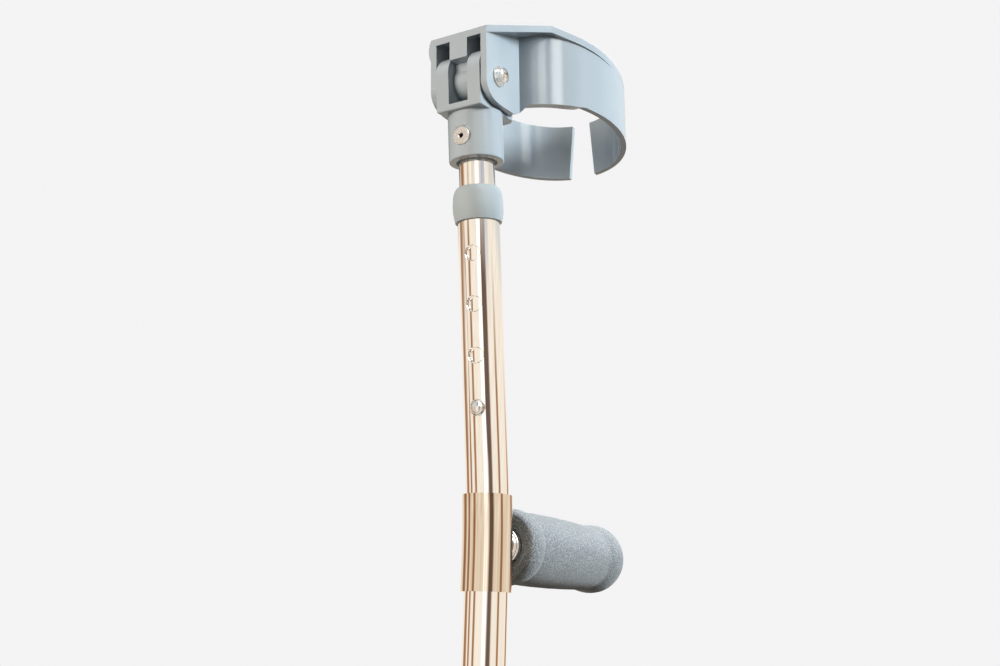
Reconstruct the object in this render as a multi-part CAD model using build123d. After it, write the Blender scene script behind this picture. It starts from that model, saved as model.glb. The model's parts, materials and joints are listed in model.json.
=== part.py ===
from build123d import *
import math
import os

# A forearm crutch: a bent outer tube with a foam hand grip, an arm cuff on a
# height-adjustable stem above it, and a height-adjustable leg with a rubber tip
# below it. Millimetres. The origin is the centre of the tip's flat underside,
# +Z runs up the straight lower tube and +X is the way the hand grip points.

# ---- driving dimensions: tubes ----
grip_height = 830.0
tube_radius = 11.0
tube_bore = 9.8
stem_radius = 9.5
stem_bore = 8.3
bend_angle = 7.05
bend_radius = 400.0
bend_above_grip = 15.2
tube_bottom = 400.0

# ---- driving dimensions: height holes and snap buttons ----
hole_pitch = 26.6
hole_radius = 4.0
hole_clock = 10.3
hole_edge = 0.3
stem_hole_count = 4
leg_hole_count = 7
first_stem_hole = 52.5
first_leg_hole = 425.0
leg_rest_hole = 4
stem_below_button = 20.0
button_radius = 3.4
button_fit = 0.1
button_top = 13.6
button_dome = 1.9
button_neck = 6.9
button_flange_radius = 4.5
button_flange_thickness = 1.0

# ---- driving dimensions: hand grip ----
sleeve_length = 47.5
sleeve_radius = 12.7
core_radius = 9.75
core_bore = 7.0
core_neck = 8.2
core_first_bead = 9.1
core_groove = 8.6
core_groove_at = 14.1
core_bead_length = 1.4
core_start = 8.0
core_end = 122.0
plug_depth = 12.0
plug_cap = 2.0
foam_start = 15.1
foam_end = 133.0
foam_face = 16.5
foam_flange = 19.5
foam_flange_at = 5.5
foam_crease = 18.2
foam_first_crease_at = 12.0
foam_body = 19.0
foam_last_crease_at = 92.0
foam_bulge = 19.2
foam_bulge_at = 106.0
foam_bulge_swell = 0.3
foam_end_flat = 6.5
foam_shoulder = 15.7
foam_shoulder_back = 3.6
foam_recess_width = 2.6
foam_recess_depth = 2.5

# ---- driving dimensions: collars ----
collar_height = 18.5
collar_radius = 13.4
collar_foot_radius = 12.3
collar_lip = 2.5
collar_clearance = 0.35
collar_start = 150.3

# ---- driving dimensions: yoke ----
socket_start = 183.0
socket_radius = 14.65
socket_depth = 21.0
socket_mouth_radius = 11.0
socket_mouth_depth = 2.5
pivot_x = -3.6
pivot_up = 226.0
pivot_hole = 2.6
yoke_half_width = 13.45
yoke_slot = 5.8
ear_radius = 13.0
ear_rise = 2.6
plate_top = -14.0
plate_thickness = 3.5
plate_front = 24.0
plate_corner = 5.0
stop_front = 22.4
stop_top = -4.2
stop_half_width = 8.0
soft_edge = 0.8

# ---- driving dimensions: socket rivet ----
rivet_above_socket = 11.4
rivet_radius = 2.5
rivet_bore = 1.2
rivet_head_radius = 4.9
rivet_head_height = 1.3
rivet_head_edge = 0.6
rivet_mouth = 0.4
rivet_tail_radius = 3.8
rivet_tail_height = 1.0
rivet_seat_depth = 0.6
rivet_fit = 0.05
rivet_seat_margin = 0.3

# ---- driving dimensions: arm cuff, measured from its pivot ----
cuff_tilt = 2.7
back_face = -12.2
cheek_outer = 17.3
cheek_inner = 13.8
knuckle_half_width = 5.4
knuckle_radius = 8.0
block_bottom = 10.0
block_front = -6.0
web_front = 6.0
hood_thickness = 3.8
hood_back_top = 24.3
hood_slope = 0.311
hood_corner_x = 30.2
hood_corner_y = 34.0
hood_oval_back = 2.5
band_centre_x = 77.9
band_half_length = 59.3
band_half_width = 48.6
band_wall = 3.1
band_top_slope = -0.14
band_bottom_mid = -7.1
band_bottom_slope = -0.081
gap_half_top = 6.0
gap_half_bottom = 8.8
cheek_front = 22.4
cheek_back_edge = ((-12.2, -3.0), (-12.1, -6.6), (-9.5, -11.4), (-4.3, -14.2))
cheek_low_edge = ((3.8, -15.2), (15.6, -15.3))
blend_back = 18.0
blend_edge = ((22.4, -12.4), (23.2, -10.8), (24.8, -8.0), (28.5, -7.1), (36.5, -6.3))
blend_end = 50.0
blend_wall = 6.0
lug_radius = 14.0
lug_height = 1.4
lug_x = -11.0
lug_up = 18.0

# ---- driving dimensions: pivot bolt ----
bolt_radius = 2.5
bolt_head_radius = 3.9
bolt_head_height = 3.0
bolt_recess_length = 2.3
bolt_recess_width = 0.9
bolt_recess_depth = 1.6
washer_radius = 5.4
washer_thickness = 1.0
lock_washer_radius = 4.3
lock_washer_thickness = 1.3
lock_washer_gap = 0.8
nut_half_flats = 4.0
nut_height = 3.8
bolt_end = 1.6
stack_gap = 0.03

# ---- driving dimensions: leg and tip ----
leg_above_button = 25.0
tip_radius = 20.0
tip_height = 52.0
tip_floor = 14.0
tip_neck_radius = 13.0
tip_edge = 1.5
tip_foot_height = 7.0
tip_groove_radius = 10.5
tip_groove_depth = 1.5
tip_rib_count = 3
tip_rib_start = 16.0
tip_rib_pitch = 7.0
tip_rib_rise = 2.0
tip_fit = 0.05
tip_washer_thickness = 1.6

# ---- driving dimensions: spring clips and end glides ----
clip_width = 6.0
clip_thickness = 0.6
clip_length = 34.0
clip_pad = 8.0
clip_tail = 10.0
clip_step = 2.0
clip_fold = 6.0
glide_radius = 9.7
glide_wall = 1.6
glide_flange = 2.0
glide_plug = 8.0
press_fit = 0.05
slide_fit = 0.02

bend_height = grip_height + bend_above_grip
tangent_length = bend_radius * math.tan(math.radians(bend_angle / 2))
upper_axis = Vector(-math.sin(math.radians(bend_angle)), 0, math.cos(math.radians(bend_angle)))
upper_frame = Plane(
    origin=(0, 0, bend_height),
    x_dir=(math.cos(math.radians(bend_angle)), 0, math.sin(math.radians(bend_angle))),
    z_dir=upper_axis,
)
tube_top = collar_start + collar_height - collar_lip
leg_button_height = first_leg_hole + leg_rest_hole * hole_pitch
stem_bottom = first_stem_hole - stem_below_button
stem_top = socket_start + socket_depth - 0.5
leg_top = leg_button_height + leg_above_button
leg_bottom = tip_floor + tip_washer_thickness + 0.1
cuff_front = band_centre_x + band_half_length + 5
tall = 60.0
standing = (Align.CENTER, Align.CENTER, Align.MIN)


def cylinder(radius, bottom, top):
    """A solid cylinder round Z between two heights."""
    return Pos(0, 0, bottom) * Cylinder(radius, top - bottom, align=standing)


def dome(radius, rise, seat):
    """A spherical cap of a given foot radius and rise, standing on a seat height."""
    ball_radius = (radius**2 + rise**2) / (2 * rise)
    ball = Pos(0, 0, seat + rise - ball_radius) * Sphere(ball_radius)
    return ball & cylinder(radius, seat, seat + rise)


def ring(outer, inner, bottom, top):
    """A plain tube round Z."""
    return cylinder(outer, bottom, top) - cylinder(inner, bottom - 1, top + 1)


def block(x0, x1, y0, y1, z0, z1):
    """A box given by its faces."""
    return Pos((x0 + x1) / 2, (y0 + y1) / 2, (z0 + z1) / 2) * Box(x1 - x0, y1 - y0, z1 - z0)


def radial(clock, height):
    """A frame whose Z points out through the tube wall, turned from -X towards -Y."""
    turn = math.radians(clock)
    outward = (-math.cos(turn), -math.sin(turn), 0)
    return Plane(origin=(0, 0, height), x_dir=(0, 0, 1), z_dir=outward).location


def radial_hole(radius, clock, height, depth=40.0):
    """A drill through one wall of a tube, starting at the tube's axis."""
    return radial(clock, height) * cylinder(radius, 0, depth)


def side_plate(points, half_width, inner=0.0):
    """An outline in the XZ plane, extruded to both sides; inner leaves the middle out."""
    face = make_face(Polyline(*points, close=True).edges())
    upright = Plane.XZ * face
    whole = extrude(upright, half_width, both=True)
    if inner:
        whole -= extrude(upright, inner, both=True)
    return whole


def turned(points):
    """A solid of revolution round Z from an outline of (radius, height)."""
    return revolve(Plane.XZ * make_face(Polyline(*points, close=True).edges()), Axis.Z)


def bent_rod(radius, bottom, top):
    """A round bar along the crutch's axis: straight, gently bent, then straight.

    bottom is a height, top is a distance from the bend's corner along the upper axis.
    """
    start = Vector(0, 0, bottom)
    first = Vector(0, 0, bend_height - tangent_length)
    second = Vector(0, 0, bend_height) + upper_axis * tangent_length
    end = Vector(0, 0, bend_height) + upper_axis * top
    middle_turn = math.radians(bend_angle / 2)
    middle = first + Vector(
        -bend_radius * (1 - math.cos(middle_turn)), 0, bend_radius * math.sin(middle_turn)
    )
    path = Line(start, first) + ThreePointArc(first, middle, second) + Line(second, end)
    return sweep(Plane(origin=start, z_dir=(0, 0, 1)) * Circle(radius), path=path)


def outer_tube():
    body = bent_rod(tube_radius, tube_bottom, tube_top)
    body -= bent_rod(tube_bore, tube_bottom - 1, tube_top + 1)
    for number in range(stem_hole_count):
        height = first_stem_hole + number * hole_pitch
        body -= upper_frame.location * radial_hole(hole_radius, hole_clock, height)
    for number in range(leg_hole_count):
        body -= radial_hole(hole_radius, hole_clock, first_leg_hole + number * hole_pitch)
    # each hole's rims are the only edges that are neither straight nor round
    return chamfer(body.edges().filter_by(GeomType.BSPLINE), hole_edge)


def handle_sleeve():
    """A short bright sleeve pressed over the tube, following its bend, that carries the grip."""
    low = grip_height - sleeve_length / 2
    high = grip_height + sleeve_length / 2
    shell = bent_rod(sleeve_radius, low - 5, sleeve_length)
    shell -= bent_rod(tube_radius + slide_fit, low - 6, sleeve_length + 1)
    reach = 2 * sleeve_radius
    return shell & block(-reach, reach, -reach, reach, low, high)


def along_grip(shape):
    """Turns a shape built round Z so that its Z runs out along the hand grip."""
    return Pos(0, 0, grip_height) * Rot(0, 90, 0) * shape


def grip_core():
    """The metal tube inside the foam: coped to sit round the sleeve, with two rounded beads there."""
    neck_end = core_groove_at - core_bead_length
    beads_end = core_groove_at + core_bead_length
    # the middle of each bead's quarter-round, as a share of the way along and out
    share = math.sqrt(0.5)
    back = core_bead_length * share
    first_middle = (core_neck + (core_first_bead - core_neck) * share, core_groove_at - back)
    last_middle = (core_groove + (core_radius - core_groove) * share, beads_end - back)
    with BuildPart() as tube:
        with BuildSketch(Plane.XZ):
            with BuildLine():
                Polyline((core_bore, core_start), (core_neck, core_start), (core_neck, neck_end))
                ThreePointArc((core_neck, neck_end), first_middle, (core_first_bead, core_groove_at))
                Line((core_first_bead, core_groove_at), (core_groove, core_groove_at))
                ThreePointArc((core_groove, core_groove_at), last_middle, (core_radius, beads_end))
                Polyline((core_radius, beads_end), (core_radius, core_end), (core_bore, core_end))
                Line((core_bore, core_end), (core_bore, core_start))
            make_face()
        revolve(axis=Axis.Z)
    sleeve = bent_rod(sleeve_radius + slide_fit, grip_height - sleeve_length, sleeve_length)
    return along_grip(tube.part) - sleeve


def grip_core_plug():
    """A plastic plug with a cap that closes the outer end of the grip's core."""
    shank = cylinder(core_bore - press_fit, core_end - plug_depth, core_end + plug_cap / 2)
    cap = cylinder(core_radius, core_end + press_fit, core_end + plug_cap)
    return along_grip(shank + cap)


def handle_grip():
    """The foam: a rounded flange, a full body between two creases and a blunt closed end."""
    # outline points as (radius, distance along the grip)
    face = (foam_face, foam_start)
    flange = (foam_flange, foam_start + foam_flange_at)
    first_crease = (foam_crease, foam_start + foam_first_crease_at)
    last_crease = (foam_crease, foam_start + foam_last_crease_at)
    body_length = foam_last_crease_at - foam_first_crease_at
    early = (foam_body, first_crease[1] + body_length / 4)
    late = (foam_body, first_crease[1] + body_length * 2 / 3)
    bulge = (foam_bulge, foam_start + foam_bulge_at)
    swell = (foam_bulge + foam_bulge_swell, (last_crease[1] + bulge[1]) / 2)
    end = (foam_end_flat, foam_end)
    shoulder = (foam_shoulder, foam_end - foam_shoulder_back)
    with BuildPart() as foam:
        with BuildSketch(Plane.XZ):
            with BuildLine():
                Line((0, foam_start), face)
                ThreePointArc(face, flange, first_crease)
                Spline(first_crease, early, late, last_crease)
                ThreePointArc(last_crease, swell, bulge)
                ThreePointArc(bulge, shoulder, end)
                Polyline(end, (0, foam_end), (0, foam_start))
            make_face()
        revolve(axis=Axis.Z)
    pocket = cylinder(core_radius + press_fit, foam_start - 1, core_end + plug_cap + 0.1)
    recess = cylinder(core_radius + foam_recess_width, foam_start - 1, foam_start + foam_recess_depth)
    return along_grip(foam.part - pocket - recess)


def collar(tube_end, direction):
    """A moulded bush over a tube's end: tapered foot, full belly, rounded shoulder and a lip."""
    height = collar_height
    outline = [
        (tube_radius + stack_gap, 0),
        (collar_foot_radius, 0),
        (collar_radius - 0.3, 4),
        (collar_radius, 7.5),
        (collar_radius - 0.1, 11),
        (collar_radius - 0.5, 14.5),
        (collar_radius - 1.3, 17),
        (stem_radius + 1.4, height),
        (stem_radius + collar_clearance, height),
        (stem_radius + collar_clearance, height - collar_lip + press_fit),
        (tube_radius + stack_gap, height - collar_lip + press_fit),
    ]
    with BuildPart() as bush:
        with BuildSketch(Plane.XZ):
            with BuildLine():
                Line(outline[0], outline[1])
                Spline(*outline[1:8])
                Polyline(*outline[7:], outline[0])
            make_face()
        revolve(axis=Axis.Z)
    turn = Rot(180, 0, 0) if direction < 0 else Rot(0, 0, 0)
    return Pos(0, 0, tube_end - direction * (height - collar_lip)) * turn * bush.part


def stem_tube():
    body = ring(stem_radius, stem_bore, stem_bottom, stem_top)
    body -= radial_hole(button_radius + button_fit, hole_clock, first_stem_hole)
    across = cylinder(rivet_radius + rivet_fit, -tube_radius, tube_radius)
    return body - Pos(0, 0, socket_start + rivet_above_socket) * Rot(0, 90, 0) * across


def leg_tube():
    body = ring(stem_radius, stem_bore, leg_bottom, leg_top)
    return body - radial_hole(button_radius + button_fit, hole_clock, leg_button_height)


def snap_button(height):
    """A domed pin with a flange that keeps it inside the inner tube."""
    dome_start = button_top - button_dome
    pin = cylinder(button_radius, button_neck, dome_start) + dome(button_radius, button_dome, dome_start)
    flange = cylinder(button_flange_radius, button_neck - button_flange_thickness, button_neck)
    return radial(hole_clock, height) * (pin + flange)


def spring_clip(height, direction):
    """A bent leaf: one leg lies on the far wall, the other presses the button out.

    direction is 1 where the fold is above the button and -1 where it is below.
    """
    front = button_neck - button_flange_thickness - press_fit
    back = -math.sqrt((stem_bore - 2 * press_fit) ** 2 - (clip_width / 2) ** 2)
    outer = [
        (clip_tail, back),
        (clip_fold - clip_length, back),
        (-clip_length, 0),
        (clip_fold - clip_length, front - clip_step),
        (-clip_pad, front),
        (clip_pad, front),
    ]
    inner = [
        (clip_pad, front - clip_thickness),
        (-clip_pad, front - clip_thickness),
        (clip_fold + clip_thickness - clip_length, front - clip_step - clip_thickness),
        (clip_thickness - clip_length, 0),
        (clip_fold + clip_thickness / 2 - clip_length, back + clip_thickness),
        (clip_tail, back + clip_thickness),
    ]
    leaf = side_plate(outer + inner, clip_width / 2)
    if direction > 0:
        leaf = mirror(leaf, about=Plane.YZ)
    return radial(hole_clock, height) * leaf


def end_glide(tube_end, direction):
    """A plastic plug in the hidden end of an inner tube, with a rim that runs in the outer tube."""
    bore = stem_bore - glide_wall
    plug = ring(stem_bore - press_fit, bore, -glide_flange / 2, glide_plug)
    plug += ring(glide_radius, bore, -glide_flange, -press_fit)
    turn = Rot(180, 0, 0) if direction < 0 else Rot(0, 0, 0)
    return Pos(0, 0, tube_end) * turn * plug


def yoke_rivet():
    """A hollow rivet across the socket: a round-edged head at the back, a rolled end at the front."""
    seat = socket_radius - rivet_seat_depth
    head_top = seat + rivet_head_height
    head = cylinder(rivet_head_radius, seat, head_top)
    head = fillet(head.edges().sort_by(Axis.Z)[-1:], rivet_head_edge)
    tail = cylinder(rivet_tail_radius, -seat - rivet_tail_height, -seat)
    body = head + tail + cylinder(rivet_radius, -seat - rivet_tail_height, seat)
    body -= cylinder(rivet_bore, -socket_radius - 5, socket_radius + 5)
    mouth = Cone(rivet_bore, rivet_bore + rivet_mouth, rivet_mouth, align=standing)
    body -= Pos(0, 0, head_top - rivet_mouth) * mouth
    return Pos(0, 0, socket_start + rivet_above_socket) * Rot(0, -90, 0) * body


def yoke_ears():
    """Two upright ears with rounded tops, one each side of the slot."""
    ear = block(-ear_radius, ear_radius, yoke_slot, yoke_half_width, plate_top - 0.5, ear_rise)
    ear += Pos(0, 0, ear_rise) * Plane.XZ.location * cylinder(ear_radius, -yoke_half_width, -yoke_slot)
    return ear + mirror(ear, about=Plane.XZ)


def yoke_plate():
    """The base under the ears, with a raised stop at its front that the cuff comes to rest on."""
    bottom = plate_top - plate_thickness
    plate = block(-ear_radius, plate_front, -yoke_half_width, yoke_half_width, bottom, plate_top)
    plate = fillet(plate.edges().filter_by(Axis.Z).group_by(Axis.X)[-1], plate_corner)
    plate = fillet(plate.faces().sort_by(Axis.Z)[0].edges(), soft_edge)
    stop = block(ear_radius - 3, stop_front, -stop_half_width, stop_half_width, plate_top - 0.5, stop_top)
    return plate + stop


def cuff_yoke():
    """Socket, base plate, two ears with rounded tops and a front stop; about the pivot."""
    below = pivot_up - socket_start
    foot = -below
    socket = cylinder(socket_radius, foot, plate_top - plate_thickness + 1)
    socket = fillet(socket.faces().sort_by(Axis.Z)[0].edges(), soft_edge)
    body = Pos(-pivot_x, 0, 0) * socket + yoke_plate() + yoke_ears()
    body -= Pos(-pivot_x, 0, 0) * cylinder(stem_radius + press_fit, foot - 1, foot + socket_depth)
    body -= Pos(-pivot_x, 0, 0) * cylinder(socket_mouth_radius, foot - 1, foot + socket_mouth_depth)
    body -= Plane.XZ.location * cylinder(pivot_hole, -2 * yoke_half_width, 2 * yoke_half_width)
    reach = 2 * socket_radius
    rivet_at = Pos(-pivot_x, 0, foot + rivet_above_socket)
    body -= rivet_at * Rot(0, 90, 0) * cylinder(rivet_radius + rivet_fit, -reach, reach)
    flat = socket_radius - rivet_seat_depth
    head = rivet_head_radius + rivet_seat_margin
    tail = rivet_tail_radius + rivet_seat_margin
    body -= rivet_at * block(-reach, -flat, -head, head, -head, head)
    body -= rivet_at * block(flat, reach, -tail, tail, -tail, tail)
    return Pos(pivot_x, 0, pivot_up) * body


def hood_top(x):
    return hood_back_top + hood_slope * (x - back_face)


def band_top(x):
    return hood_top(hood_corner_x) + band_top_slope * (x - hood_corner_x)


def band_bottom(x):
    return band_bottom_mid + band_bottom_slope * (x - band_centre_x)


def band_oval(inset):
    """The band's oval, smaller by inset all round, as a tall solid."""
    oval = Ellipse(band_half_length - inset, band_half_width - inset)
    return extrude(Pos(band_centre_x, 0) * oval, tall, both=True)


def cuff_hood():
    """The sloping flat over the cheeks, its rim a little proud of the band as far as mid-length."""
    # the rim follows the band's oval moved back a little, so that it sinks into the band half-way along
    centre = band_centre_x - hood_oval_back
    # where a straight edge from the hood's corner meets that oval as a tangent
    along = (hood_corner_x - centre) / band_half_length
    across = hood_corner_y / band_half_width
    meet = math.atan2(across, along) - math.acos(1 / math.hypot(along, across))
    meet_x = centre + band_half_length * math.cos(meet)
    meet_y = band_half_width * math.sin(meet)
    half = [(back_face, cheek_outer), (hood_corner_x, hood_corner_y), (meet_x, meet_y), (centre, 0)]
    outline = half + [(x, -y) for x, y in reversed(half[:-1])]
    plan = extrude(make_face(Polyline(*outline, close=True).edges()), tall, both=True)
    rim_end = band_centre_x - hood_oval_back / 2
    rim = Pos(-hood_oval_back, 0, 0) * band_oval(0)
    plan += rim & block(meet_x, rim_end, -tall, tall, -tall, tall)
    top = [
        (back_face - 1, hood_top(back_face - 1)),
        (hood_corner_x, hood_top(hood_corner_x)),
        (cuff_front, band_top(cuff_front)),
    ]
    under = [(x, height - hood_thickness) for x, height in reversed(top)]
    return (plan & side_plate(top + under, tall)) - band_oval(band_wall)


def cuff_band():
    """The C-shaped band round the forearm, before its front gap is cut."""
    rear = band_centre_x - band_half_length - 1
    side = [
        (rear, hood_top(rear)),
        (hood_corner_x, hood_top(hood_corner_x)),
        (cuff_front, band_top(cuff_front)),
        (cuff_front, band_bottom(cuff_front)),
        (rear, band_bottom(rear)),
    ]
    return (band_oval(0) & side_plate(side, tall)) - band_oval(band_wall)


def cuff_cheeks():
    """Two plates outside the ears, swept up at the back and blended into the band in front."""
    with BuildSketch(Plane.XZ) as side:
        with BuildLine():
            Line((back_face, hood_top(back_face) - 1), cheek_back_edge[0])
            Spline(*cheek_back_edge, *cheek_low_edge)
            Line(cheek_low_edge[-1], blend_edge[0])
            Line(blend_edge[0], (cheek_front, hood_top(cheek_front) - 1))
            Line((cheek_front, hood_top(cheek_front) - 1), (back_face, hood_top(back_face) - 1))
        make_face()
    plates = extrude(side.sketch, cheek_outer, both=True) - extrude(side.sketch, cheek_inner, both=True)
    tip = (blend_end, band_bottom(blend_end))
    with BuildSketch(Plane.XZ) as web:
        with BuildLine():
            Line((blend_back, 0), cheek_low_edge[-1])
            Line(cheek_low_edge[-1], blend_edge[0])
            Spline(*blend_edge, tip)
            Line(tip, (blend_back, 0))
        make_face()
    tall_web = extrude(web.sketch, tall, both=True) - extrude(web.sketch, cheek_inner, both=True)
    blends = (tall_web & band_oval(0)) - band_oval(blend_wall)
    ball = Sphere(lug_radius) & block(back_face - lug_x, lug_radius, 0, lug_radius, -lug_radius, lug_radius)
    lug = Pos(lug_x, cheek_outer + lug_height - lug_radius, lug_up) * ball
    lug &= block(back_face, hood_corner_x, cheek_inner + 1, 2 * cheek_outer, 0, hood_back_top)
    return plates + blends + lug


def cuff_centre():
    """The knuckle between the ears and the block and web that join it to the hood."""
    knuckle = Plane.XZ.location * cylinder(knuckle_radius, -knuckle_half_width, knuckle_half_width)
    side = [
        (back_face, hood_top(back_face) - 1),
        (back_face, block_bottom),
        (block_front, block_bottom),
        (block_front, 0),
        (web_front, 0),
        (web_front, hood_top(web_front) - 1),
    ]
    return knuckle + side_plate(side, knuckle_half_width)


def front_gap():
    """The wedge between the band's two arms, wider at the bottom."""
    high, low = band_top(cuff_front), band_bottom(cuff_front)
    flare = (gap_half_bottom - gap_half_top) / (high - low)
    top = gap_half_top - flare * (tall - high)
    bottom = gap_half_bottom + flare * (tall + low)
    outline = [(-bottom, -tall), (bottom, -tall), (top, tall), (-top, tall)]
    face = Plane.YZ * make_face(Polyline(*outline, close=True).edges())
    return Pos(band_centre_x, 0, 0) * extrude(face, 2 * band_half_length)


def arm_cuff():
    """The moulded cuff: C-shaped band, sloping hood, two cheeks, centre block and knuckle."""
    body = cuff_band() + cuff_hood() + cuff_cheeks() + cuff_centre()
    body -= front_gap()
    return body - Plane.XZ.location * cylinder(bolt_radius + press_fit, -2 * cheek_outer, 2 * cheek_outer)


def pivot_bolt():
    """A pan-headed bolt along Y with a crossed recess, its head on the near cheek."""
    seat = cheek_outer + washer_thickness + lock_washer_thickness + 3 * stack_gap
    top = seat + bolt_head_height
    head = dome(bolt_head_radius, bolt_head_height / 2, top - bolt_head_height / 2)
    head += cylinder(bolt_head_radius, seat, top - bolt_head_height / 2)
    long, thin = bolt_recess_length, bolt_recess_width / 2
    head -= block(-long, long, -thin, thin, top - bolt_recess_depth, top)
    head -= block(-thin, thin, -long, long, top - bolt_recess_depth, top)
    tail = -(cheek_outer + washer_thickness + nut_height + bolt_end)
    shank = cylinder(bolt_radius, tail, seat + 0.5)
    shank = chamfer(shank.faces().sort_by(Axis.Z)[0].edges(), 0.5)
    return Rot(90, 0, 0) * (head + shank)


def pivot_washers():
    """Two plain washers, one against each cheek."""
    seat = cheek_outer + stack_gap
    washer = ring(washer_radius, bolt_radius + press_fit, seat, seat + washer_thickness)
    return Compound(children=[Rot(-90, 0, 0) * washer, Rot(90, 0, 0) * washer])


def lock_washer():
    """A split washer under the bolt's head."""
    seat = cheek_outer + washer_thickness + 2 * stack_gap
    washer = ring(lock_washer_radius, bolt_radius + press_fit, seat, seat + lock_washer_thickness)
    half = lock_washer_gap / 2
    split = block(0, 2 * lock_washer_radius, -half, half, seat - 1, seat + 2 * lock_washer_thickness)
    return Rot(90, 0, 0) * (washer - Rot(0, 0, -60) * split)


def pivot_nut():
    """A hexagon nut on the far cheek, its outer corners turned down to a cone."""
    seat = cheek_outer + washer_thickness + 2 * stack_gap
    top = seat + nut_height
    prism = Pos(0, 0, seat) * extrude(RegularPolygon(nut_half_flats, 6, major_radius=False), nut_height)
    crown_height = 3 * nut_height
    crown = Cone(nut_half_flats + crown_height, nut_half_flats, crown_height, align=standing)
    prism &= Pos(0, 0, top - crown_height) * crown
    return Rot(-90, 0, 0) * (prism - cylinder(bolt_radius + press_fit, seat - 1, top + 1))


def rubber_tip():
    """A ferrule: flared foot with a groove in its sole, ribbed neck and a blind bore."""
    bore = stem_radius + tip_fit
    groove = [
        (tip_groove_radius - 2.5, 0),
        (tip_groove_radius - 1.5, tip_groove_depth),
        (tip_groove_radius + 1.5, tip_groove_depth),
        (tip_groove_radius + 2.5, 0),
    ]
    foot = [
        (tip_radius - tip_edge, 0),
        (tip_radius, tip_edge),
        (tip_radius, tip_foot_height),
        (tip_radius - 1.2, tip_foot_height + 3),
    ]
    ribs = []
    for number in range(tip_rib_count):
        start = tip_rib_start + number * tip_rib_pitch
        ribs += [
            (tip_neck_radius + 0.7, start),
            (tip_neck_radius + tip_rib_rise, start + 1),
            (tip_neck_radius + tip_rib_rise, start + 3),
            (tip_neck_radius + 0.7, start + 4),
        ]
    rim = [
        (tip_neck_radius, tip_height - 6),
        (tip_neck_radius + 0.8, tip_height - 5),
        (tip_neck_radius + 0.8, tip_height - 1),
        (tip_neck_radius, tip_height),
    ]
    hollow = [(bore, tip_height), (bore, tip_floor), (0, tip_floor)]
    return turned([(0, 0)] + groove + foot + ribs + rim + hollow)


def tip_washer():
    """A steel disc in the bottom of the tip that the leg's tube stands on."""
    return cylinder(stem_radius - 0.2, tip_floor + press_fit, tip_floor + tip_washer_thickness)


def on_stem(shape):
    """Puts a shape built along the upper axis where it belongs."""
    return upper_frame.location * shape


def on_cuff(shape):
    """Puts a shape built about the cuff's pivot where it belongs."""
    return on_stem(Pos(pivot_x, 0, pivot_up) * Rot(0, cuff_tilt, 0) * shape)


parts = {
    "outer_tube": outer_tube(),
    "handle_sleeve": handle_sleeve(),
    "grip_core": grip_core(),
    "grip_core_plug": grip_core_plug(),
    "handle_grip": handle_grip(),
    "upper_collar": on_stem(collar(tube_top, 1)),
    "lower_collar": collar(tube_bottom, -1),
    "cuff_stem_tube": on_stem(stem_tube()),
    "stem_end_glide": on_stem(end_glide(stem_bottom, 1)),
    "stem_spring_clip": on_stem(spring_clip(first_stem_hole, 1)),
    "stem_snap_button": on_stem(snap_button(first_stem_hole)),
    "cuff_yoke": on_stem(cuff_yoke()),
    "yoke_rivet": on_stem(yoke_rivet()),
    "arm_cuff": on_cuff(arm_cuff()),
    "pivot_bolt": on_cuff(pivot_bolt()),
    "pivot_washers": on_cuff(pivot_washers()),
    "pivot_lock_washer": on_cuff(lock_washer()),
    "pivot_nut": on_cuff(pivot_nut()),
    "leg_tube": leg_tube(),
    "leg_end_glide": end_glide(leg_top, -1),
    "leg_spring_clip": spring_clip(leg_button_height, -1),
    "leg_snap_button": snap_button(leg_button_height),
    "rubber_tip": rubber_tip(),
    "tip_washer": tip_washer(),
}

os.makedirs("parts", exist_ok=True)
for name, shape in parts.items():
    export_step(shape, f"parts/{name}.step")
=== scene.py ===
import json
import math

import bpy
from mathutils import Matrix, Vector, noise

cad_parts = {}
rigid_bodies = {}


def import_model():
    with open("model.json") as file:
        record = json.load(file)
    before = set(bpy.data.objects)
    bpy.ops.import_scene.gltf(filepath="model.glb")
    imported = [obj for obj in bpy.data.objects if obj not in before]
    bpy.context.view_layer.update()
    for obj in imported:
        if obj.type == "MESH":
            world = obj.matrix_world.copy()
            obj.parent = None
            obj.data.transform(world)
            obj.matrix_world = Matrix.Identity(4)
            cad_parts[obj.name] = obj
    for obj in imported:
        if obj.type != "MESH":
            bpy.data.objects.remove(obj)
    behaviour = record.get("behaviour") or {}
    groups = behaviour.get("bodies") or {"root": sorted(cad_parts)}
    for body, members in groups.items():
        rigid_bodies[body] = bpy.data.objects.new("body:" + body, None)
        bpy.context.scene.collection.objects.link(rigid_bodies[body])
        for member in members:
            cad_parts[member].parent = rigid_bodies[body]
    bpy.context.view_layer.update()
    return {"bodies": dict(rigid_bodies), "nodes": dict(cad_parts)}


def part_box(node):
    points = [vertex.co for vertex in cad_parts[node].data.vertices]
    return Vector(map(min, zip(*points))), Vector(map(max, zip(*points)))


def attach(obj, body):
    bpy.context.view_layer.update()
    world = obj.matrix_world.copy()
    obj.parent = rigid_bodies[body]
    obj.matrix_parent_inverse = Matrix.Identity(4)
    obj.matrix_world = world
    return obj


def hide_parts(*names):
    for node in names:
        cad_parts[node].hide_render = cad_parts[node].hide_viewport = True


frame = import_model()

# ---- camera: where it stands, how it is turned, and its lens ----
CAMERA_PLACE = (-0.4764, -0.2887, 0.7896)
CAMERA_YAW = 0.5388
CAMERA_PITCH = 0.2625
CAMERA_ROLL = 0.0282
CAMERA_LENS = 39.435
CAMERA_SENSOR = 36

# ---- lights and room ----
BACKDROP = (0.905, 0.900, 0.910, 1.0)
FILL_BELOW = (0.06, 0.056, 0.050)
FILL_SIDE = (0.225, 0.216, 0.202)
FILL_ABOVE = (0.62, 0.65, 0.69)
LIT_POINT = (0, 0, 0.95)

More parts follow.
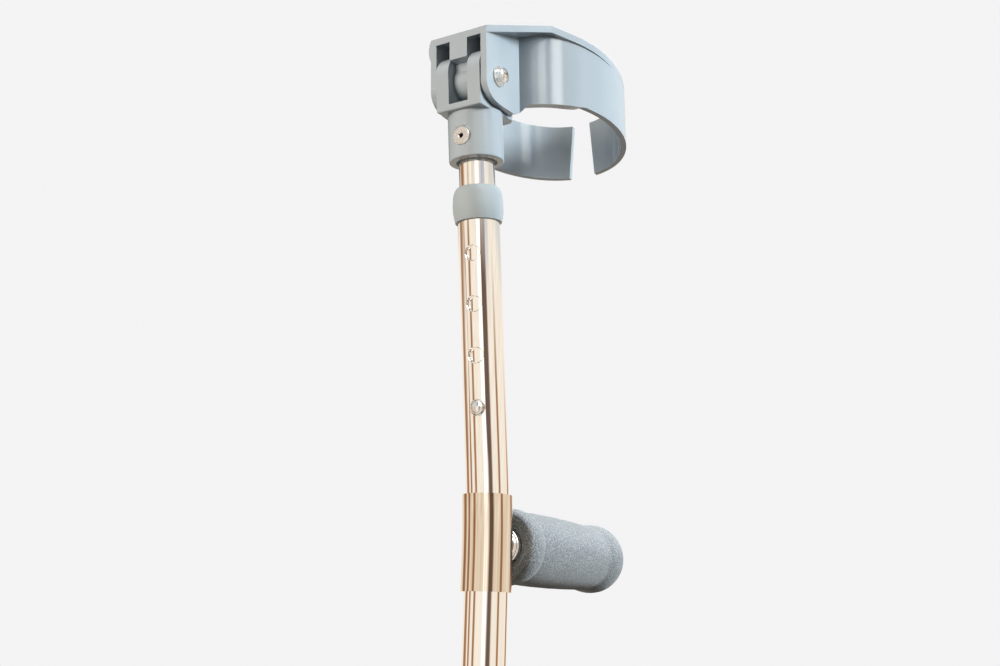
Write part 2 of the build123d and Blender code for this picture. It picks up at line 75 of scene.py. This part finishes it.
# ---- foam grip ----
# along the grip from the shaft, and how much slimmer it is than its widest, in millimetres
FOAM_OUTLINE = [
    # the flange and the crease behind it
    (0.0, 3.8), (0.2, 2.6), (1.0, 1.5), (2.6, 0.6), (5.0, 0.1), (7.5, 0.0), (10.0, 0.5), (11.6, 1.15),
    (12.6, 1.3), (14.0, 1.1),
    # the body
    (18.0, 0.75), (26.0, 0.5), (40.0, 0.42), (56.0, 0.5), (70.0, 0.8), (84.0, 1.2),
    # the last crease, the bulge and the closed end
    (88.5, 1.45), (91.5, 1.5), (93.4, 1.1), (95.6, 0.5), (99.0, 0.05), (103.0, 0.05),
    (106.0, 0.45), (109.0, 1.3), (112.2, 3.0), (115.0, 5.8), (117.0, 9.6), (117.9, 14.6),
]
# the shallow recess round the core, from its floor out: depth in from the face, and width, in metres
FOAM_RECESS = [(0.0024, 0.0), (0.0024, 0.0018), (0.0016, 0.0026), (0.0, 0.0032)]
FOAM_SIDES = 96
FOAM_CORE_GAP = 0.0002
# unevenness of the skin: lumps per metre and their depth in metres, and how far in the whole skin lies
COARSE_LUMPS = (90, 0.00018)
FINE_LUMPS = (420, 0.00006)
SKIN_DEPTH = 0.00002

# ---- floor: a disc, how far it reaches, and where it starts and ends fading out, in metres ----
FLOOR_SIDES = 64
FLOOR_REACH = 6.0
FLOOR_FADE = (0.4, 2.6)

# ---- the room that a polished surface sees: a plain wall with a few soft upright bands ----
# each band is its middle and half width in degrees from +X, and its colour or power
PALE_WALL = (250, 240, 226)
WOOD = (165, 120, 85)
DOORWAY = (110, 90, 80)
BRIGHT_WALL = (290, 288, 284)
SHADE = (200, 195, 175)
COOL_SHADE = (185, 192, 208)
GREY_WALL = (220, 220, 215)
DIM = (110, 115, 120)
LEVEL_BANDS = [
    (90, 15, WOOD),
    (120, 8, WOOD),
    (150, 8, WOOD),
    (205, 11, BRIGHT_WALL),
    (230, 14, DOORWAY),
    (280, 8, WOOD),
    (350, 12, WOOD),
]
RAISED_BANDS = [(100, 20, WOOD), (185, 12, SHADE), (212, 15, BRIGHT_WALL), (245, 15, COOL_SHADE)]
HIGH_BANDS = [(60, 40, DIM), (208, 12, DIM), (240, 4, DIM)]
WINDOW_BANDS = [(208, 8, 0.4), (220, 4, 4.0), (231, 7, 7.5), (250, 9, 9.9)]
WALL_POWER = 1.0
# the most that a ramp's full value stands for
ROOM_POWER = 1.4
WINDOW_POWER = 10.0
# where the level room gives way to the raised one, and that to the high one, as the direction's Z
RAISED_FROM = (0.13, 0.26)
HIGH_FROM = (0.30, 0.35)


def make_camera():
    """A camera that looks up at the cuff and grip from behind, on the -Y side."""
    forward = Vector((
        math.cos(CAMERA_YAW) * math.cos(CAMERA_PITCH),
        math.sin(CAMERA_YAW) * math.cos(CAMERA_PITCH),
        math.sin(CAMERA_PITCH),
    ))
    level = Vector((math.sin(CAMERA_YAW), -math.cos(CAMERA_YAW), 0))
    above = level.cross(forward)
    right = level * math.cos(CAMERA_ROLL) + above * math.sin(CAMERA_ROLL)
    up = above * math.cos(CAMERA_ROLL) - level * math.sin(CAMERA_ROLL)
    camera = bpy.data.objects.new("camera", bpy.data.cameras.new("camera"))
    camera.data.lens = CAMERA_LENS
    camera.data.sensor_width = CAMERA_SENSOR
    camera.matrix_world = Matrix((right, up, -forward)).transposed().to_4x4()
    camera.location = CAMERA_PLACE
    bpy.context.collection.objects.link(camera)
    bpy.context.scene.camera = camera


class Nodes:
    """A short way to build a node tree."""

    def __init__(self, tree):
        self.tree = tree
        tree.nodes.clear()

    def add(self, kind, inputs=None, **settings):
        node = self.tree.nodes.new(kind)
        for name, value in settings.items():
            setattr(node, name, value)
        for name, value in (inputs or {}).items():
            if isinstance(value, bpy.types.NodeSocket):
                self.tree.links.new(value, node.inputs[name])
            else:
                node.inputs[name].default_value = value
        return node

    def ramp(self, value, stops):
        node = self.add("ShaderNodeValToRGB", {"Fac": value})
        elements = node.color_ramp.elements
        while len(elements) < len(stops):
            elements.new(0.5)
        for element, (place, colour) in zip(elements, stops):
            element.position = place
            element.color = (*colour, 1)
        return node.outputs["Color"]


def srgb(red, green, blue):
    """An everyday 0-255 colour as the linear values that the shaders take."""
    return tuple(((c / 255 + 0.055) / 1.055) ** 2.4 for c in (red, green, blue))


def room_colour(colour):
    """A colour that may be brighter than white, brought into a ramp's range."""
    return tuple(c / ROOM_POWER for c in srgb(*colour))


def high_colour(colour):
    return srgb(*colour)


def window_power(power):
    return (power / WINDOW_POWER,) * 3


def room_ramp(n, around, wall, bands, level):
    """A ramp right round the room, starting at -X; level turns a wall's or band's value into a colour."""
    stops = []
    for middle, half, value in bands:
        edges = ((-half, wall), (-half / 2, value), (half / 2, value), (half, wall))
        stops += [(((middle + away) / 360 + 0.5) % 1, level(here)) for away, here in edges]
    return n.ramp(around, sorted(stops))


def fade(n, value, start, end, first=0.0, last=1.0):
    """Goes from first to last as the value goes from start to end."""
    limits = {"From Min": start, "From Max": end, "To Min": first, "To Max": last}
    return n.add("ShaderNodeMapRange", {"Value": value, **limits}).outputs["Result"]


def background(n, colour, strength):
    return n.add("ShaderNodeBackground", {"Color": colour, "Strength": strength}).outputs[0]


def make_world():
    """Pale to the camera, a room of soft upright bands to polished metal, soft fill to the rest."""
    world = bpy.data.worlds.new("studio")
    bpy.context.scene.world = world
    world.use_nodes = True
    n = Nodes(world.node_tree)
    coords = n.add("ShaderNodeTexCoord").outputs["Generated"]
    around = n.add("ShaderNodeTexGradient", {"Vector": coords}, gradient_type="RADIAL").outputs["Fac"]
    height = n.add("ShaderNodeSeparateXYZ", {"Vector": coords}).outputs["Z"]
    level = room_ramp(n, around, PALE_WALL, LEVEL_BANDS, room_colour)
    raised = room_ramp(n, around, PALE_WALL, RAISED_BANDS, room_colour)
    high = room_ramp(n, around, GREY_WALL, HIGH_BANDS, high_colour)
    glare = room_ramp(n, around, WALL_POWER, WINDOW_BANDS, window_power)
    bright = n.add("ShaderNodeMath", {0: glare, 1: WINDOW_POWER}, operation="MULTIPLY").outputs[0]
    lift = fade(n, height, *RAISED_FROM)
    rise = fade(n, height, *HIGH_FROM)
    near_level = n.add("ShaderNodeMix", {"Factor": lift, "A": level, "B": raised}, data_type="RGBA")
    lower = background(n, near_level.outputs["Result"], ROOM_POWER)
    upper = background(n, high, bright)
    mirrored = n.add("ShaderNodeMixShader", {0: rise, 1: lower, 2: upper}).outputs[0]
    soft = background(n, n.ramp(height, [(0.0, FILL_BELOW), (0.45, FILL_SIDE), (1.0, FILL_ABOVE)]), 1.0)
    seen = background(n, BACKDROP, 1.0)
    path = n.add("ShaderNodeLightPath").outputs
    shiny = n.add("ShaderNodeMixShader", {0: path["Is Glossy Ray"], 1: soft, 2: mirrored}).outputs[0]
    whole = n.add("ShaderNodeMixShader", {0: path["Is Camera Ray"], 1: shiny, 2: seen}).outputs[0]
    n.add("ShaderNodeOutputWorld", {"Surface": whole})


def area_light(name, place, size, power, colour):
    """A soft round lamp that lights surfaces but isn't mirrored in the polished metal."""
    lamp = bpy.data.lights.new(name, "AREA")
    lamp.shape = "DISK"
    lamp.size = size
    lamp.energy = power
    lamp.color = colour
    light = bpy.data.objects.new(name, lamp)
    light.location = place
    light.rotation_euler = (Vector(LIT_POINT) - Vector(place)).to_track_quat("-Z", "Y").to_euler()
    light.visible_glossy = False
    bpy.context.collection.objects.link(light)


def make_lights():
    area_light("key", (0.7, -2.0, 1.8), 0.9, 80, (0.89, 0.96, 1.0))
    area_light("top", (0.1, 0.1, 2.9), 1.2, 44, (1.0, 1.0, 1.0))
    area_light("warm_fill", (-2.0, 0.6, 1.1), 1.2, 46, (1.0, 0.90, 0.79))


def make_floor():
    """A pale round floor under the crutch that fades out into the backdrop."""
    mesh = bpy.data.meshes.new("floor")
    turns = [2 * math.pi * k / FLOOR_SIDES for k in range(FLOOR_SIDES)]
    rim = [(FLOOR_REACH * math.cos(turn), FLOOR_REACH * math.sin(turn), 0) for turn in turns]
    mesh.from_pydata(rim, [], [tuple(range(FLOOR_SIDES))])
    floor = bpy.data.objects.new("floor", mesh)
    bpy.context.collection.objects.link(floor)
    floor.parent = frame["bodies"]["leg"]  # it stays under the tip when the leg slides
    floor.visible_glossy = False
    floor.visible_diffuse = False
    material, n, shader = new_material("floor_paper")
    coords = n.add("ShaderNodeTexCoord").outputs["Object"]
    tone = n.add("ShaderNodeTexNoise", {"Vector": coords, "Scale": 3.0}).outputs["Fac"]
    paper = n.ramp(tone, [(0.3, (0.155, 0.155, 0.158)), (0.7, (0.165, 0.165, 0.168))])
    shader.inputs["Emission Color"].default_value = (0.90, 0.90, 0.91, 1.0)
    shader.inputs["Emission Strength"].default_value = 0.68
    shader.inputs["Roughness"].default_value = 0.9
    away = n.add("ShaderNodeVectorMath", {0: coords}, operation="LENGTH").outputs["Value"]
    connect(n, shader, Base_Color=paper, Alpha=fade(n, away, *FLOOR_FADE, 1.0, 0.0))
    mesh.materials.append(material)


def new_material(name):
    """A material with one shader, and a way to add nodes to it."""
    material = bpy.data.materials.new(name)
    material.use_nodes = True
    n = Nodes(material.node_tree)
    shader = n.add("ShaderNodeBsdfPrincipled")
    n.add("ShaderNodeOutputMaterial", {"Surface": shader.outputs[0]})
    return material, n, shader


def connect(n, shader, **sockets):
    """Links values to the shader's inputs, whose names are written with _ for a space."""
    for name, value in sockets.items():
        n.tree.links.new(value, shader.inputs[name.replace("_", " ")])


def bump(n, height, strength, distance, over=None):
    """A surface normal raised by a height, over another normal if one is given."""
    inputs = {"Height": height, "Strength": strength, "Distance": distance}
    if over is not None:
        inputs["Normal"] = over
    return n.add("ShaderNodeBump", inputs).outputs["Normal"]


def object_noise(n, scale, detail=2.0, stretch=(1, 1, 1)):
    """Noise fixed to the object, finer with scale, drawn out along an axis where stretch is small."""
    coords = n.add("ShaderNodeTexCoord").outputs["Object"]
    mapped = n.add("ShaderNodeMapping", {"Vector": coords, "Scale": stretch}).outputs["Vector"]
    return n.add("ShaderNodeTexNoise", {"Vector": mapped, "Scale": scale, "Detail": detail}).outputs["Fac"]


def polished_metal(name, light, dark, roughness, line_strength):
    """Mirror-polished metal with faint draw lines along the tube and a few dull handling marks."""
    material, n, shader = new_material(name)
    shader.inputs["Metallic"].default_value = 1.0
    lines = object_noise(n, 900, 2.0, (1, 1, 0.004))
    marks = object_noise(n, 35, 4.0)
    waves = object_noise(n, 45, 1.0, (1, 1, 0.35))
    tint = n.ramp(lines, [(0.35, dark), (0.65, light)])
    rough = n.ramp(marks, [(0.45, (roughness,) * 3), (0.75, (roughness * 2.2,) * 3)])
    drawn = bump(n, lines, line_strength, 0.0002)
    connect(n, shader, Base_Color=tint, Roughness=rough, Normal=bump(n, waves, 0.04, 0.001, drawn))
    return material


def bright_nickel(name):
    """Bright plating with a slight grain and uneven polish."""
    material, n, shader = new_material(name)
    shader.inputs["Metallic"].default_value = 1.0
    grain = object_noise(n, 1500, 2.0)
    tint = n.ramp(grain, [(0.3, srgb(226, 225, 222)), (0.7, srgb(246, 246, 243))])
    rough = n.ramp(object_noise(n, 300, 3.0), [(0.4, (0.20,) * 3), (0.7, (0.32,) * 3)])
    connect(n, shader, Base_Color=tint, Roughness=rough, Normal=bump(n, grain, 0.05, 0.0001))
    return material


def moulded_plastic(name, light, dark, roughness, grain_strength):
    """Moulded plastic: faint flow marks in the colour, fine grain and a slow ripple in the surface."""
    material, n, shader = new_material(name)
    flow = object_noise(n, 22, 3.0)
    grain = object_noise(n, 2600, 2.0)
    tint = n.ramp(flow, [(0.35, dark), (0.65, light)])
    wear = object_noise(n, 60, 4.0)
    rough = n.ramp(wear, [(0.4, (roughness,) * 3), (0.7, (roughness * 1.35,) * 3)])
    fine = bump(n, grain, grain_strength, 0.0001)
    ripple = object_noise(n, 28, 1.5)
    connect(n, shader, Base_Color=tint, Roughness=rough, Normal=bump(n, ripple, 0.09, 0.001, fine))
    return material


def speckled_foam(name):
    """Closed-cell foam: fine pits, light and dark specks, a soft sheen at its edges."""
    material, n, shader = new_material(name)
    coords = n.add("ShaderNodeTexCoord").outputs["Object"]
    cells = n.add("ShaderNodeTexVoronoi", {"Vector": coords, "Scale": 1900.0}).outputs["Distance"]
    specks = object_noise(n, 1500.0, 3.0)
    patches = object_noise(n, 60.0, 2.0)
    dark, middle, light = srgb(70, 77, 82), srgb(128, 134, 137), srgb(204, 208, 210)
    speckle = n.ramp(specks, [(0.36, dark), (0.5, middle), (0.64, light)])
    base = n.ramp(patches, [(0.3, srgb(126, 131, 134)), (0.7, srgb(138, 143, 146))])
    mixed = n.add("ShaderNodeMix", {"Factor": 0.5, "A": base, "B": speckle}, data_type="RGBA")
    height = n.add("ShaderNodeMath", {0: cells, 1: specks}, operation="ADD").outputs[0]
    shader.inputs["Sheen Weight"].default_value = 0.35
    shader.inputs["Sheen Roughness"].default_value = 0.5
    shader.inputs["Roughness"].default_value = 0.9
    connect(n, shader, Base_Color=mixed.outputs["Result"], Normal=bump(n, height, 0.5, 0.0004))
    return material


def dress(material, *nodes):
    """Gives CAD nodes a material."""
    for name in nodes:
        for place in frame["nodes"][name].material_slots:
            place.material = material


def foam_grip(material):
    """The foam hand grip: flange at the shaft, shallow waist, soft bulge and a rounded closed end."""
    low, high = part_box("handle_grip")
    centre = (low + high) / 2
    radius = (high.z - low.z) / 2
    length = high.x - low.x
    core_low, core_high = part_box("grip_core")
    bore = (core_high.z - core_low.z) / 2 + FOAM_CORE_GAP
    stretch = length / (FOAM_OUTLINE[-1][0] / 1000)
    rows = [(depth, bore + width) for depth, width in FOAM_RECESS]
    rows += [(along / 1000 * stretch, radius - slim / 1000) for along, slim in FOAM_OUTLINE]
    sides = FOAM_SIDES
    verts, faces = [], []
    for along, size in rows:
        for k in range(sides):
            turn = 2 * math.pi * k / sides
            across, up = size * math.cos(turn), size * math.sin(turn)
            verts.append((low.x + along, centre.y + across, centre.z + up))
    for r in range(len(rows) - 1):
        for k in range(sides):
            a, b = r * sides + k, r * sides + (k + 1) % sides
            faces.append((a, a + sides, b + sides, b))
    tip = len(verts)
    verts.append((high.x, centre.y, centre.z))
    last = (len(rows) - 1) * sides
    faces += [(last + k, tip, last + (k + 1) % sides) for k in range(sides)]
    mesh = bpy.data.meshes.new("foam_grip")
    mesh.from_pydata(verts, [], faces)
    mesh.materials.append(material)
    grip = bpy.data.objects.new("foam_grip", mesh)
    bpy.context.collection.objects.link(grip)
    smooth = grip.modifiers.new("smooth", "SUBSURF")
    smooth.levels = smooth.render_levels = 2
    bpy.context.view_layer.update()
    graph = bpy.context.evaluated_depsgraph_get()
    fine = bpy.data.meshes.new_from_object(grip.evaluated_get(graph))
    grip.modifiers.clear()
    grip.data = fine
    normals = [vertex.normal.copy() for vertex in fine.vertices]
    coarse, coarse_depth = COARSE_LUMPS
    small, small_depth = FINE_LUMPS
    for vertex, normal in zip(fine.vertices, normals):
        lump = noise.noise(vertex.co * coarse) * coarse_depth + noise.noise(vertex.co * small) * small_depth
        vertex.co -= normal * (abs(lump) + SKIN_DEPTH)
    for face in fine.polygons:
        face.use_smooth = True
    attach(grip, "frame")
    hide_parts("handle_grip")


make_camera()
make_world()
make_lights()
make_floor()
bpy.context.scene.view_settings.view_transform = "Standard"

tube = polished_metal("polished_tube", srgb(254, 252, 250), srgb(246, 242, 237), 0.02, 0.03)
sleeve = polished_metal("polished_sleeve", srgb(240, 230, 216), srgb(218, 202, 184), 0.012, 0.03)
dress(tube, "outer_tube", "cuff_stem_tube", "leg_tube", "grip_core")
dress(sleeve, "handle_sleeve")
steel = bright_nickel("bright_steel")
dress(steel, "stem_snap_button", "leg_snap_button", "yoke_rivet", "stem_spring_clip", "leg_spring_clip")
dress(steel, "pivot_bolt", "pivot_washers", "pivot_lock_washer", "pivot_nut", "tip_washer")
cuff_plastic = moulded_plastic("cuff_plastic", srgb(173, 183, 190), srgb(166, 177, 185), 0.10, 0.04)
dress(cuff_plastic, "arm_cuff", "cuff_yoke")
collar_plastic = moulded_plastic("collar_plastic", srgb(170, 180, 184), srgb(163, 174, 179), 0.40, 0.12)
dress(collar_plastic, "upper_collar", "lower_collar")
dark_plastic = moulded_plastic("dark_plastic", srgb(52, 52, 54), srgb(42, 42, 44), 0.5, 0.2)
dress(dark_plastic, "grip_core_plug", "stem_end_glide", "leg_end_glide")
tip_rubber = moulded_plastic("tip_rubber", srgb(92, 96, 100), srgb(78, 82, 86), 0.75, 0.5)
dress(tip_rubber, "rubber_tip")
foam_grip(speckled_foam("foam"))
